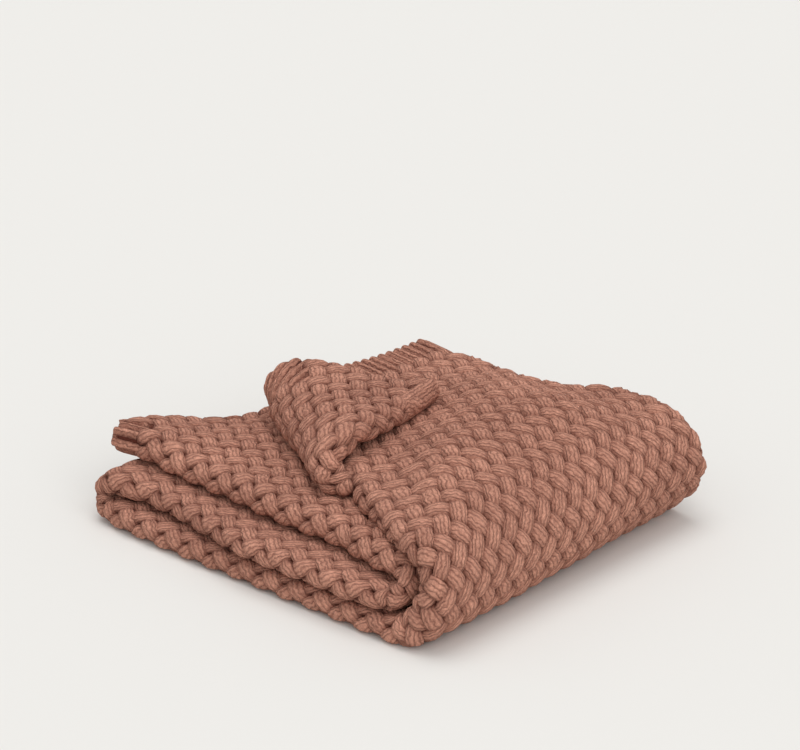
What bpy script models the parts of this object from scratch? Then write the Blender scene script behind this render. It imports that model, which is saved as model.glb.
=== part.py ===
"""A cable-knitted throw blanket, folded in four across its width and then back and forth along its length.

The throw is one flat knitted panel. The mesh starts flat, one sheet thick, and is then folded the way
hands fold it: twice across the width, which makes a pack four layers thick; then along the length,
which makes a pile of four slabs with one full-height fold at the right; and last the front corner of
the top slab is turned over onto itself. Every vertex of the flat panel goes through the same folds.

Lengths are in millimetres until the last line of fold(). Positions in the pile are given as
from_right, from_front and height: from the foremost and rightmost bulges of the pile, and the floor.
"""

import math
from collections import namedtuple

import bmesh
import bpy

MM = 0.001

# ---- driving dimensions, in millimetres ----------------------------------------------------------
SHEET = 4.0  # thickness of the knitted cloth under its own weight
LAYER_PITCH = 5.0  # from one layer of a pack to the next
SLAB_PITCH = 20.2  # from one slab to the next
QUARTER = LAYER_PITCH / 2
PACK_HALF = 3 * QUARTER + SHEET / 2  # half the thickness of a four-layer pack
PILE_DEPTH = 325.0  # from the rounded front folds back to the selvedges
OUTER_AXIS = 1.5 * SLAB_PITCH + PACK_HALF  # from_right of the axis of the outer fold
INNER_AXIS = 52.0  # from_right of the axis of the fold inside it
LEFT_AXIS = 346.0  # from_right of the axis of the left-hand fold
FREE_END = 372.0  # from_right of the free end, on the third slab
TOP_REACH = 251.0  # length of the top slab, from the outer fold to its ribbed end
MIDDLE = (188.8, 172.5)  # from_right and from_front of the origin

# ---- the two foldings ----------------------------------------------------------------------------
# A leg is a straight run, or a bend of so many half turns about its radius. It takes up `length` of
# cloth, in cells of `cells` widths. The pack slips in its bends, and so keeps its length outside its middle.
Leg = namedtuple("Leg", "name radius turn length cells")
Stretch = namedtuple("Stretch", "name radius turn length cells from_slab to_slab")
FRONT_RUN = PILE_DEPTH - PACK_HALF
BACK_RUN = FRONT_RUN - QUARTER - SHEET / 2
SLIP = PACK_HALF / 2
# The crossings are the same distances behind the front bends in every layer, so that the layers' flat
# faces lie alike and stay apart.
CROSSINGS = (18, 38, 58, 76, 94, 112, 134, 162, 198, 242, 282)


def run_back(name, length):
    return Leg(name, 0, 0, length, [b - a for a, b in zip((0, *CROSSINGS), (*CROSSINGS, length))])


def run_forward(name, length):
    return Leg(name, 0, 0, length, run_back(name, length).cells[::-1])


ACROSS = (
    run_forward("outside layer, coming forward", FRONT_RUN),
    Leg("outer front bend", 3 * QUARTER, 1, 3 * QUARTER * math.pi, (1,) * 5),
    run_back("outside layer, going back", BACK_RUN),
    Leg("back bend", QUARTER, 1, QUARTER * math.pi, (1,) * 3),
    run_forward("inside layer, coming forward", BACK_RUN),
    Leg("inner front bend", QUARTER, -1, QUARTER * math.pi, (1,) * 5),
    run_back("inside layer, going back", BACK_RUN - 2),
)
SLAB_CROSSINGS = (150, 260, 310)  # from_right, in the three lower slabs


def slab(name, start, end, number):
    marks = [start, *sorted(SLAB_CROSSINGS, reverse=start > end), end]
    return Stretch(name, 0, 0, abs(end - start), [abs(b - a) for a, b in zip(marks, marks[1:])], number, number)


def half_turn(name, radius, turn, pieces, from_slab, to_slab):
    return Stretch(name, radius, turn, (radius + SLIP) * math.pi, (1,) * pieces, from_slab, to_slab)


ALONG = (
    slab("third slab", FREE_END, INNER_AXIS, 2),
    half_turn("inner fold", SLAB_PITCH / 2, -1, 4, 2, 1),
    slab("second slab", INNER_AXIS, LEFT_AXIS, 1),
    half_turn("left fold", SLAB_PITCH / 2, 1, 4, 1, 0),
    slab("bottom slab", LEFT_AXIS, OUTER_AXIS, 0),
    half_turn("outer fold", 1.5 * SLAB_PITCH, 1, 6, 0, 3),
    Stretch("top slab", 0, 0, TOP_REACH, (3, 3) + (2,) * 3 + (1,) * 8 + (2,) * 6, 3, 3),
)
TOP = 3  # slabs are counted from the bottom one, 0
OUTER_SWELL = 0.5  # how much thicker the pack lies on the inside of the outer fold
WIDTH = sum(leg.length for leg in ACROSS)
LENGTH = sum(leg.length for leg in ALONG)

# ---- how unevenly it lies ------------------------------------------------------------------------
# How far the front of each slab lies behind the foremost bulge.
Front = namedtuple("Front", "from_right bottom second third top")
FRONTS = (
    Front(0, 0, 4, 16, 14),
    Front(40, 0, 6, 20, 20),
    Front(75, 0, 0, 22, 8),
    Front(120, 0, 0, 31, 0),
    Front(190, 0, 0, 33, 0),
    Front(245, 0, 10, 38, 0),
    Front(310, 1, 18, 40, 0),
    Front(345, 4, 10, 40, 0),
    Front(380, 10, 10, 34, 0),
)
BACK_SHARE = 0.5  # the back of a slab moves by this share of what its front does
# How far the free end reaches beyond FREE_END.
Reach = namedtuple("Reach", "from_front beyond")
FREE_REACH = (Reach(0, 0), Reach(35, 6), Reach(70, -4), Reach(110, -34), Reach(180, -44), Reach(330, -36))
REACH_FADES = 200.0  # how far from the free end that is still felt
# Where the pile gives way. The amount grows with from_right over one span and with from_front over
# the other; where a span is written backwards, it falls instead.
Give = namedtuple("Give", "amount right left front back")
SINK = Give(0.2, 270, 350, 60, 160)  # the left side sinks by a fifth of its height, behind,
SWELL = Give(0.1, 280, 350, 110, 40)  # and swells by a tenth in front.
RISE = Give(0.05, 20, 75, 120, 300)  # The back is a little higher beside the outer fold,
RISE_ENDS = (150, 90)  # and no longer so from here on.
LIFT = Give(10, 40, 0, 60, 330)  # The outer fold lifts off the floor at its back,
LIFT_ENDS = (70, 0)  # but its top stays where it is.
# Between the outer fold and the turned corner the top slab is plump, and rises by this share of its
# height. Its front edge there, and the turned corner beside it, both run back and to the left.
DOME = Give(0.235, -25, 95, 20, 80)
DOME_BACK = (320, 235)
DOME_LEFT = (140, 60)
FRONT_SLANT, FRONT_SLANT_FROM = 0.6, 40
LEFT_SLANT, LEFT_SLANT_FROM = 0.45, 70
DOME_BEGINS = (0.2, 0.8)  # the part of the outer fold over which it comes in

# ---- the turned corner ---------------------------------------------------------------------------
# The crease runs over the top slab from its front edge, CREASE_FROM along it, to its ribbed end,
# CREASE_DEPTH behind the front. In the pile it lies from place to place as in CREASE: part of the way
# along it, where that is, the radius at which the pack's middle turns over there, and how far it leans in.
CREASE_FROM = 94.0
CREASE_DEPTH = 165.0
LYING = 10.3  # half the height of the turned corner's middle above the slab's, where it lies flat
Place = namedtuple("Place", "part from_right from_front roll lean")
CREASE = (
    Place(0.0, 140, 70, 22, 16),
    Place(0.2, 176, 91, 17, 17),
    Place(0.4, 214, 115, 14, 15),
    Place(0.7, 270, 146, 13.5, 10),
    Place(1.0, 322, 186, 15, 6),
)
CREASE_HEADING = math.radians(28.8)  # of the whole crease, turning from the pile's length to its depth
FLAP_ALONG = -0.670  # how far a millimetre of the turned corner runs back along the crease
FLAP_OVER = 0.810  # and how far it runs over it
CORE = 1.5  # how much the loose inner layers leave empty in the middle of the roll
LEANS_FROM = 1.0  # radians into the turn at which the roll begins to lean in
SAGS_OVER = 70.0  # how far beyond the roll the turned corner comes down to lie flat
# The front edge of the top slab, drawn back in a slant as far as the crease
Edge = namedtuple("Edge", "along right back")
FRONT_EDGE = (Edge(0, 0, 0), Edge(14, 0, 10), Edge(49, 1, 40), Edge(93, 7, 70))
# Its back edge, which the turned corner pulls in
BACK_EDGE = (Edge(0, 0, 4), Edge(48, 0, 9), Edge(85, 0, -2), Edge(122, 0, -12), Edge(170, 0, -12), Edge(251, 0, 0))
TOP_EASE = 1.6  # how quickly that slant fades towards the back: nearest the outer fold
END_EASE = 2.6  # and at the ribbed end
# How far the lower layers stray beyond the upper ones at the ribbed end, along and behind the front.
STRAY = Give(11.0, 190, TOP_REACH, 220, 250)
STRAY_ENDS = (300, 275)


def curve(rows, at):
    """The rest of the row of a table at a value of its first column, on a smooth curve through the rows."""
    if at <= rows[0][0]:
        return rows[0][1:]
    if at >= rows[-1][0]:
        return rows[-1][1:]
    after = next(i for i, row in enumerate(rows) if row[0] > at)
    low, high = rows[after - 1], rows[after]
    before, beyond = rows[max(after - 2, 0)], rows[min(after + 1, len(rows) - 1)]
    span = high[0] - low[0]
    part = (at - low[0]) / span
    found = []
    for a, b, c, d in list(zip(before, low, high, beyond))[1:]:
        rise_low = (c - a) / (high[0] - before[0]) * span
        rise_high = (d - b) / (beyond[0] - low[0]) * span
        ease = part * part * (3 - 2 * part)
        found.append(b + (c - b) * ease + part * (1 - part) * (rise_low * (1 - part) - rise_high * part))
    return tuple(found)


def ramp(value, low, high):
    """0 up to low, 1 from high on, and a smooth rise between."""
    part = min(max((value - low) / (high - low), 0.0), 1.0)
    return part * part * (3 - 2 * part)


def give(zone, x, y):
    """How far the pile gives way at a place."""
    return zone.amount * ramp(x, zone.right, zone.left) * ramp(y, zone.front, zone.back)


def dome(x, y):
    """How much the top slab is plumped up at a place, as a share of its height."""
    behind_front = y - FRONT_SLANT * max(x - FRONT_SLANT_FROM, 0)
    left = x - LEFT_SLANT * max(y - LEFT_SLANT_FROM, 0)
    return give(DOME, x, behind_front) * ramp(y, *DOME_BACK) * ramp(left, *DOME_LEFT)


def walk(legs, x, y, heading, distance):
    """The point and heading at a distance along a path that starts at x, y."""
    for leg in legs:
        part = min(distance / leg.length, 1.0)
        if leg.radius:
            reach = leg.radius * math.copysign(1, leg.turn)
            x -= reach * math.sin(heading)
            y += reach * math.cos(heading)
            heading += leg.turn * math.pi * part
            x += reach * math.sin(heading)
            y -= reach * math.cos(heading)
        else:
            x += leg.length * part * math.cos(heading)
            y += leg.length * part * math.sin(heading)
        distance -= leg.length
        if distance <= 0:
            break
    return x, y, heading


def leg_at(legs, distance):
    """The leg of a path that a distance along it falls in, and how much of that leg is behind it."""
    for leg in legs:
        if distance <= leg.length or leg is legs[-1]:
            return leg, min(distance / leg.length, 1.0)
        distance -= leg.length


def fold_in_four(across, proud):
    """Where the cloth comes in a pack: how far behind its front, and how far from its middle."""
    depth, off, heading = walk(ACROSS, PILE_DEPTH, 3 * QUARTER, math.pi, across)
    return depth + proud * math.sin(heading), off - proud * math.cos(heading)


def fold_lengthwise(along, off):
    """Where the pack comes in the pile: its distance from the right, and its height."""
    x, height, heading = walk(ALONG, -FREE_END, PACK_HALF + 2 * SLAB_PITCH, 0.0, along)
    return off * math.sin(heading) - x, height + off * math.cos(heading)


def turn_corner(along, depth, up):
    """Where a point of the top slab comes, with its front corner turned over: up is from the slab's middle."""
    part = min(max((along - CREASE_FROM) / (TOP_REACH - CREASE_FROM), 0.0), 1.0)
    crease_depth = part * CREASE_DEPTH
    over = crease_depth - depth
    right, front, roll, lean = curve(CREASE, part)
    if part == 0:
        shift, front = curve(FRONT_EDGE, along)
        right = OUTER_AXIS + along + shift
    if over <= 0:
        _, pull = curve(BACK_EDGE, along)
        run = max(-over - PACK_HALF, 0) / (PILE_DEPTH - crease_depth - PACK_HALF)
        fade = (1 - run) ** (TOP_EASE + (END_EASE - TOP_EASE) * part)
        x = OUTER_AXIS + along
        if up < 0:
            x += give(STRAY, along, depth) * ramp(depth, *STRAY_ENDS)
        return x + (right - x) * fade, depth + (front - crease_depth) * fade + pull * (1 - fade), up
    turned = min(over * FLAP_OVER / roll, math.pi)
    beyond = max(over * FLAP_OVER - math.pi * roll, 0)
    if up > 0:
        # The layers inside the roll lie loosely and fill it.
        up += up / PACK_HALF * max(roll - CORE - PACK_HALF, 0) * math.sin(turned)
    lateral = (roll - up) * math.sin(turned) - lean * ramp(turned, LEANS_FROM, math.pi) - beyond
    sag = 2 * (roll - LYING) * ramp(beyond, 0, SAGS_OVER)
    run = over * FLAP_ALONG
    cos, sin = math.cos(CREASE_HEADING), math.sin(CREASE_HEADING)
    return (
        right + run * cos + lateral * sin,
        front + run * sin - lateral * cos,
        roll - (roll - up) * math.cos(turned) - sag,
    )


def settle(x, y, z, front, covered, plump):
    """The pile's own unevenness: slabs that lie back, and the give of the whole, by how covered and plump it is."""
    y += front * (1 - (1 - BACK_SHARE) * y / PILE_DEPTH)
    z *= 1 + (give(SWELL, x, y) - give(SINK, x, y)) * covered + give(RISE, x, y) * ramp(x, *RISE_ENDS)
    z *= 1 + dome(x, y) * plump
    return x, y, z + give(LIFT, x, y) * ramp(z, *LIFT_ENDS)


def fold(along, across, proud):
    """The folded place, in metres, of a point of the flat panel: proud of its middle on the right side."""
    depth, off = fold_in_four(across, proud)
    leg, part = leg_at(ALONG, along)
    if leg.to_slab == TOP and part > 0 and not leg.radius:
        x, y, up = turn_corner(leg.length * part, depth, -off)
        z = PACK_HALF + TOP * SLAB_PITCH + up
    else:
        if leg.to_slab == TOP and off > 0:
            off *= 1 + OUTER_SWELL * math.sin(math.pi * part)
        x, z = fold_lengthwise(along, off)
        y = depth
        x += curve(FREE_REACH, depth)[0] * ramp(along, REACH_FADES, 0)
    fronts = curve(FRONTS, x)
    front = fronts[leg.from_slab] + (fronts[leg.to_slab] - fronts[leg.from_slab]) * ramp(part, 0, 1)
    covered = leg.to_slab < TOP
    plump = 0.0 if covered else 1.0 if not leg.radius else ramp(part, *DOME_BEGINS)
    x, y, z = settle(x, y, z, front, covered, plump)
    return ((MIDDLE[0] - x) * MM, (y - MIDDLE[1]) * MM, z * MM)


def stations(legs):
    """The distances along a path at which its cells begin and end."""
    at, found = 0.0, [0.0]
    for leg in legs:
        for cell in leg.cells:
            found.append(found[-1] + leg.length * cell / sum(leg.cells))
        at += leg.length
        found[-1] = at
    return found


def flat_panel():
    """The throw laid out flat: one thin slab, X along it and Y across it, divided where it will be folded."""
    along, across = stations(ALONG), stations(ACROSS)
    mesh = bmesh.new()
    bmesh.ops.create_grid(mesh, x_segments=len(along) - 1, y_segments=len(across) - 1, size=0.5)
    for vertex in mesh.verts:
        column = round((vertex.co.x + 0.5) * (len(along) - 1))
        row = round((vertex.co.y + 0.5) * (len(across) - 1))
        vertex.co = (along[column], across[row], 0.0)
    runs, edge = [], 0.0
    for leg in ACROSS:
        runs.append((edge, edge + leg.length, "forward" in leg.name or leg.turn < 0))
        edge += leg.length
    for face in list(mesh.faces):
        # Layers that lie together are divided along the same diagonals, so that they stay apart.
        middle = face.calc_center_median().y
        forward = next(coming for low, high, coming in runs if low <= middle <= high)
        corners = sorted(face.verts, key=lambda v: v.co.x - v.co.y if forward else v.co.x + v.co.y)
        bmesh.utils.face_split(face, corners[0], corners[-1])
    bmesh.ops.solidify(mesh, geom=mesh.faces[:], thickness=SHEET)
    bmesh.ops.recalc_face_normals(mesh, faces=mesh.faces[:])
    return mesh


for leftover in list(bpy.data.objects):
    bpy.data.objects.remove(leftover)

panel = flat_panel()
low = min(vertex.co.z for vertex in panel.verts)
for vertex in panel.verts:
    vertex.co = fold(vertex.co.x, vertex.co.y, vertex.co.z - low - SHEET / 2)
bmesh.ops.reverse_faces(panel, faces=panel.faces[:])

data = bpy.data.meshes.new("knitted_panel")
panel.to_mesh(data)
panel.free()
blanket = bpy.data.objects.new("knitted_panel", data)
throw = bpy.data.collections.new("folded_throw")
bpy.context.scene.collection.children.link(throw)
throw.objects.link(blanket)

wool = bpy.data.materials.new("terracotta_wool")
wool.use_nodes = True
surface = wool.node_tree.nodes["Principled BSDF"]
surface.inputs["Base Color"].default_value = (0.42, 0.165, 0.11, 1)
surface.inputs["Roughness"].default_value = 0.95
data.materials.append(wool)

print(f"flat panel {WIDTH:.0f} x {LENGTH:.0f} mm")
corners = [vertex.co / MM for vertex in data.vertices]
for axis, name in enumerate("XYZ"):
    print(name, round(min(c[axis] for c in corners), 1), round(max(c[axis] for c in corners), 1))
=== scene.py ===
# %% [markdown]
# # A plaited cable-knit throw blanket, folded
# The throw is one chunky knitted panel, about 1.3 by 1.4 m. Thick strands of three stitch columns
# cross over and under each other all over it, like a plaited basket, and each of its two ends has a
# ribbed border. It is folded in four across its width, then back and forth along its length, and one
# front corner is turned over.
#
# This file builds only what the eye sees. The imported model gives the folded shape, and the knit is
# laid onto it strand by strand: a thin ground cloth, the plaited strands and the two ribbed borders.

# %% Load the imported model
import math
import random
from collections import namedtuple

import bmesh
import bpy
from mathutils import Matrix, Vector


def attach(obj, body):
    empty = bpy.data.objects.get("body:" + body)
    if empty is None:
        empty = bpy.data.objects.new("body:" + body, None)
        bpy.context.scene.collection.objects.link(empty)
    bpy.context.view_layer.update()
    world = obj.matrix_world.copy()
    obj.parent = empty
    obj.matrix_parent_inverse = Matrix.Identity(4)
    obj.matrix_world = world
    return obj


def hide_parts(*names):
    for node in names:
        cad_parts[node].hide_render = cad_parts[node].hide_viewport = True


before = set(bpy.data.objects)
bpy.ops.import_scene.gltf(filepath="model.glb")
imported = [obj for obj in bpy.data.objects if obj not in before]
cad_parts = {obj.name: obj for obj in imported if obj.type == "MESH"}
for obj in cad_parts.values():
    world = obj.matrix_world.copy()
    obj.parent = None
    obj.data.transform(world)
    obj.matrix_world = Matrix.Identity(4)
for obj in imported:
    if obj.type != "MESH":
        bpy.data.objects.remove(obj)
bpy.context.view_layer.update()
MM = 0.001

# %% [markdown]
# ## Camera, floor and light
# The throw lies on a plain pale table, seen from its front right corner and a little above. A long
# lens keeps the verticals calm. Cloth needs broad, soft light: here a bright sky all round and two
# wide suns, one high up and one low at the side that rakes across the knit. Neither casts a hard edge.

# %% Camera
LOOK_AT = Vector((-0.1882, 0.2175, 0.0))
HEADING = math.radians(41.6)
ELEVATION = math.radians(22.6)
DISTANCE = 2.83
FOCAL_LENGTH = 144  # on Blender's own sensor, 36 mm wide


def put_in_scene(name, data):
    """A new object with that data, in the scene."""
    made = bpy.data.objects.new(name, data)
    bpy.context.scene.collection.objects.link(made)
    return made


back = Vector((math.sin(HEADING), -math.cos(HEADING), math.tan(ELEVATION))).normalized()
lens = bpy.data.cameras.new("camera")
lens.lens = FOCAL_LENGTH
camera = put_in_scene("camera", lens)
camera.location = LOOK_AT + back * DISTANCE
camera.rotation_euler = back.to_track_quat("Z", "Y").to_euler()
bpy.context.scene.camera = camera
print("camera at", [round(c, 3) for c in camera.location])

# %% Floor
FLOOR_HALF = 12
PAPER = {"Base Color": (0.793, 0.781, 0.752, 1), "Roughness": 0.9, "Specular IOR Level": 0.1}


def new_material(name, finish):
    """A material with that finish, its node tree and its Principled BSDF."""
    made = bpy.data.materials.new(name)
    made.use_nodes = True
    surface = made.node_tree.nodes["Principled BSDF"]
    for label, value in finish.items():
        surface.inputs[label].default_value = value
    print("material", name)
    return made, made.node_tree, surface


paper = new_material("pale_paper", PAPER)[0]
floor_mesh = bmesh.new()
bmesh.ops.create_grid(floor_mesh, x_segments=1, y_segments=1, size=FLOOR_HALF)
floor_data = bpy.data.meshes.new("floor")
floor_mesh.to_mesh(floor_data)
floor_mesh.free()
floor_data.materials.append(paper)
floor = put_in_scene("floor", floor_data)
print("the floor is", 2 * FLOOR_HALF, "m wide")

# %% Light
SKY_STRENGTH = 0.54
world = bpy.data.worlds.new("soft_sky")
world.use_nodes = True
sky = world.node_tree.nodes["Background"]
sky.inputs["Color"].default_value = (1, 1, 1, 1)
sky.inputs["Strength"].default_value = SKY_STRENGTH
bpy.context.scene.world = world


def shine(name, energy, spread, place):
    """A wide sun that shines on the throw from that direction."""
    sun = bpy.data.lights.new(name, "SUN")
    sun.energy = energy
    sun.angle = math.radians(spread)
    put_in_scene(name, sun).rotation_euler = Vector(place).to_track_quat("Z", "Y").to_euler()
    print(name, "is", spread, "degrees wide")


shine("high_window", 1.12, 45, (-0.2, 0.15, 1.5))
shine("side_window", 1.0, 60, (1.0, -0.5, 0.95))
bpy.context.scene.view_settings.view_transform = "Standard"

# %% [markdown]
# ## The folds
# Every piece of this throw starts flat, as a place on the panel: so far along it and so far across
# it. One function then folds that place just as the hands folded the cloth. It is the recipe of the
# solid, so whatever goes through it lies exactly on the solid. All lengths are in millimetres until
# its last line. In the pile, a place is so far from its right, so far behind its front, and so high.

# %% Sizes of the folded pile
SHEET = 4.0  # thickness of the knitted cloth
LAYER_PITCH = 5.0  # from one layer of a pack to the next
SLAB_PITCH = 20.2  # from one slab to the next
QUARTER = LAYER_PITCH / 2
PACK_HALF = 3 * QUARTER + SHEET / 2  # half the thickness of a four-layer pack
PILE_DEPTH = 325.0  # from the rounded front folds back to the selvedges
OUTER_AXIS = 1.5 * SLAB_PITCH + PACK_HALF  # from the right to the axis of the outer fold
INNER_AXIS = 52.0  # and to that of the fold inside it
LEFT_AXIS = 346.0  # and to that of the left-hand fold
FREE_END = 372.0  # and to the free end, on the third slab
TOP_REACH = 251.0  # length of the top slab, from the outer fold to its ribbed end
MIDDLE = (188.8, 172.5)  # the origin's place from the right and from the front
FRONT_RUN = PILE_DEPTH - PACK_HALF
BACK_RUN = FRONT_RUN - QUARTER - SHEET / 2
SLIP = PACK_HALF / 2  # the pack slips in its bends, and so keeps its length outside its middle
TOP = 3  # slabs are counted from the bottom one, 0
print(f"a pack is {2 * PACK_HALF:.0f} mm thick")

# %% The two foldings, as paths of straight runs and bends
Leg = namedtuple("Leg", "name radius turn length")
Stretch = namedtuple("Stretch", "name radius turn length from_slab to_slab")


def slab(name, start, end, number):
    """A straight run of the pack, from one distance from the right to another."""
    return Stretch(name, 0, 0, abs(end - start), number, number)


def half_turn(name, radius, turn, from_slab, to_slab):
    """A bend of the pack, up or down from one slab to another."""
    return Stretch(name, radius, turn, (radius + SLIP) * math.pi, from_slab, to_slab)


ACROSS = (
    Leg("outside layer, coming forward", 0, 0, FRONT_RUN),
    Leg("outer front bend", 3 * QUARTER, 1, 3 * QUARTER * math.pi),
    Leg("outside layer, going back", 0, 0, BACK_RUN),
    Leg("back bend", QUARTER, 1, QUARTER * math.pi),
    Leg("inside layer, coming forward", 0, 0, BACK_RUN),
    Leg("inner front bend", QUARTER, -1, QUARTER * math.pi),
    Leg("inside layer, going back", 0, 0, BACK_RUN - 2),
)
ALONG = (
    slab("third slab", FREE_END, INNER_AXIS, 2),
    half_turn("inner fold", SLAB_PITCH / 2, -1, 2, 1),
    slab("second slab", INNER_AXIS, LEFT_AXIS, 1),
    half_turn("left fold", SLAB_PITCH / 2, 1, 1, 0),
    slab("bottom slab", LEFT_AXIS, OUTER_AXIS, 0),
    half_turn("outer fold", 1.5 * SLAB_PITCH, 1, 0, 3),
    Stretch("top slab", 0, 0, TOP_REACH, TOP, TOP),
)
WIDTH = sum(leg.length for leg in ACROSS)
LENGTH = sum(leg.length for leg in ALONG)
TOP_START = LENGTH - TOP_REACH
print(f"the flat panel is {WIDTH:.0f} x {LENGTH:.0f} mm")

# %% How unevenly the pile lies
# How far the front of each slab lies behind the foremost bulge
Front = namedtuple("Front", "from_right bottom second third top")
FRONTS = (
    Front(0, 0, 4, 16, 14),
    Front(40, 0, 6, 20, 20),
    Front(75, 0, 0, 22, 8),
    Front(120, 0, 0, 31, 0),
    Front(190, 0, 0, 33, 0),
    Front(245, 0, 10, 38, 0),
    Front(310, 1, 18, 40, 0),
    Front(345, 4, 10, 40, 0),
    Front(380, 10, 10, 34, 0),
)
BACK_SHARE = 0.5  # the back of a slab moves by this share of what its front does
# How far the free end reaches beyond FREE_END, and how far from it that is still felt
Reach = namedtuple("Reach", "from_front beyond")
FREE_REACH = (Reach(0, 0), Reach(35, 6), Reach(70, -4))
FREE_REACH += (Reach(110, -34), Reach(180, -44), Reach(330, -36))
REACH_FADES = 200.0
OUTER_SWELL = 0.5  # how much thicker the pack lies on the inside of the outer fold
# Where the pile gives way. The amount grows from right to left over one span and from front to back
# over the other. Where a span is written backwards, it falls instead.
Give = namedtuple("Give", "amount right left front back")
SINK = Give(0.2, 270, 350, 60, 160)  # The left side sinks by a fifth of its height, behind,
SWELL = Give(0.1, 280, 350, 110, 40)  # and swells by a tenth in front.
RISE = Give(0.05, 20, 75, 120, 300)  # The back is a little higher beside the outer fold,
RISE_ENDS = (150, 90)  # and no longer so further left.
LIFT = Give(10, 40, 0, 60, 330)  # The outer fold lifts off the floor at its back,
LIFT_ENDS = (70, 0)  # but its top stays where it is.
# The top slab is plump between the outer fold and the turned corner, by a share of its height. The
# dome begins and ends at a slant, along the front edge and along the turned corner.
DOME = Give(0.235, -25, 95, 20, 80)
DOME_BACK = (320, 235)
DOME_LEFT = (140, 60)
FRONT_SLANT, FRONT_SLANT_FROM = 0.6, 40
LEFT_SLANT, LEFT_SLANT_FROM = 0.45, 70
DOME_BEGINS = (0.2, 0.8)  # the part of the outer fold over which it comes in
# At the ribbed end of the top slab the lower layers stray beyond the upper ones.
STRAY = Give(11.0, 190, TOP_REACH, 220, 250)
STRAY_ENDS = (300, 275)
TABLE = 0.15  # nothing comes lower than this
print(f"the left side sinks by {SINK.amount:.0%}, and the top slab is plumped up by {DOME.amount:.1%}")

# %% The corner turned over
# The crease runs over the top slab from its front edge, CREASE_FROM along it, to its ribbed end,
# CREASE_DEPTH behind the front. The table says where it comes to lie in the pile, the radius at which
# the pack's middle turns over there, and how far that roll leans in.
CREASE_FROM = 94.0
CREASE_DEPTH = 165.0
Place = namedtuple("Place", "part from_right from_front roll lean")
CREASE = (
    Place(0.0, 140, 70, 22, 16),
    Place(0.2, 176, 91, 17, 17),
    Place(0.4, 214, 115, 14, 15),
    Place(0.7, 270, 146, 13.5, 10),
    Place(1.0, 322, 186, 15, 6),
)
CREASE_HEADING = math.radians(28.8)
FLAP_ALONG = -0.670  # how far along the crease a millimetre of the turned corner runs: backwards
FLAP_OVER = 0.810  # and how far over it
CORE = 1.5  # how much the loose inner layers leave empty in the middle of the roll
LEANS_FROM = 1.0  # radians into the turn at which the roll begins to lean in
SAGS_OVER = 70.0  # how far beyond the roll the turned corner has come down to lie flat
LYING = 10.3  # half the height of its middle above the slab's, where it lies flat
# The front edge of the top slab, drawn back as far as the crease, and its back edge, which the
# turned corner pulls in. An edge's pull fades towards the slab's other edge.
Edge = namedtuple("Edge", "along right back")
FRONT_EDGE = (Edge(0, 0, 0), Edge(14, 0, 10), Edge(49, 1, 40), Edge(93, 7, 70))
BACK_EDGE = (Edge(0, 0, 4), Edge(48, 0, 9), Edge(85, 0, -2))
BACK_EDGE += (Edge(122, 0, -12), Edge(170, 0, -12), Edge(251, 0, 0))
TOP_EASE = 1.6  # how quickly it fades nearest the outer fold
END_EASE = 2.6  # and at the ribbed end
print(f"the crease begins {CREASE_FROM:.0f} mm along the top slab")


# %% Curves and paths
def curve(rows, at):
    """The rest of the row of a table at a value of its first column, on a smooth curve."""
    if at <= rows[0][0]:
        return rows[0][1:]
    if at >= rows[-1][0]:
        return rows[-1][1:]
    after = next(i for i, row in enumerate(rows) if row[0] > at)
    low, high = rows[after - 1], rows[after]
    before, beyond = rows[max(after - 2, 0)], rows[min(after + 1, len(rows) - 1)]
    span = high[0] - low[0]
    part = (at - low[0]) / span
    ease = part * part * (3 - 2 * part)
    found = []
    for a, b, c, d in list(zip(before, low, high, beyond))[1:]:
        rise_low = (c - a) / (high[0] - before[0]) * span
        rise_high = (d - b) / (beyond[0] - low[0]) * span
        bend = part * (1 - part) * (rise_low * (1 - part) - rise_high * part)
        found.append(b + (c - b) * ease + bend)
    return tuple(found)


def ramp(value, low, high):
    """0 up to low, 1 from high on, and a smooth rise between. With high below low it falls."""
    part = min(max((value - low) / (high - low), 0.0), 1.0)
    return part * part * (3 - 2 * part)


def give(zone, x, y):
    """How far the pile gives way at a place."""
    return zone.amount * ramp(x, zone.right, zone.left) * ramp(y, zone.front, zone.back)


def walk(legs, x, y, heading, distance):
    """The point and heading at a distance along a path that starts at x, y."""
    for leg in legs:
        part = min(distance / leg.length, 1.0)
        if leg.radius:
            reach = leg.radius * leg.turn
            x -= reach * math.sin(heading)
            y += reach * math.cos(heading)
            heading += leg.turn * math.pi * part
            x += reach * math.sin(heading)
            y -= reach * math.cos(heading)
        else:
            x += leg.length * part * math.cos(heading)
            y += leg.length * part * math.sin(heading)
        distance -= leg.length
        if distance <= 0:
            break
    return x, y, heading


def leg_at(legs, distance):
    """The leg that a distance along a path falls in, and how much of that leg is behind it."""
    for leg in legs:
        if distance <= leg.length or leg is legs[-1]:
            return leg, min(distance / leg.length, 1.0)
        distance -= leg.length


def start_of(legs, name):
    """The distance along a path at which the leg of that name begins."""
    at = 0.0
    for leg in legs:
        if leg.name == name:
            return at
        at += leg.length


print(f"the third slab's front lies {curve(FRONTS, LEFT_AXIS)[2]:.0f} mm back at the left fold")


# %% Folding in four, and lengthwise
def fold_in_four(across, proud):
    """Where the cloth comes in a pack: how far behind its front, and how far from its middle."""
    depth, off, heading = walk(ACROSS, PILE_DEPTH, 3 * QUARTER, math.pi, across)
    return depth + proud * math.sin(heading), off - proud * math.cos(heading)


def fold_lengthwise(along, off):
    """Where the pack comes in the pile: its distance from the right, and its height."""
    x, height, heading = walk(ALONG, -FREE_END, PACK_HALF + 2 * SLAB_PITCH, 0.0, along)
    return off * math.sin(heading) - x, height + off * math.cos(heading)


print("the selvedges lie", [round(fold_in_four(side, 0)[0]) for side in (0, WIDTH)], "mm back")


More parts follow.
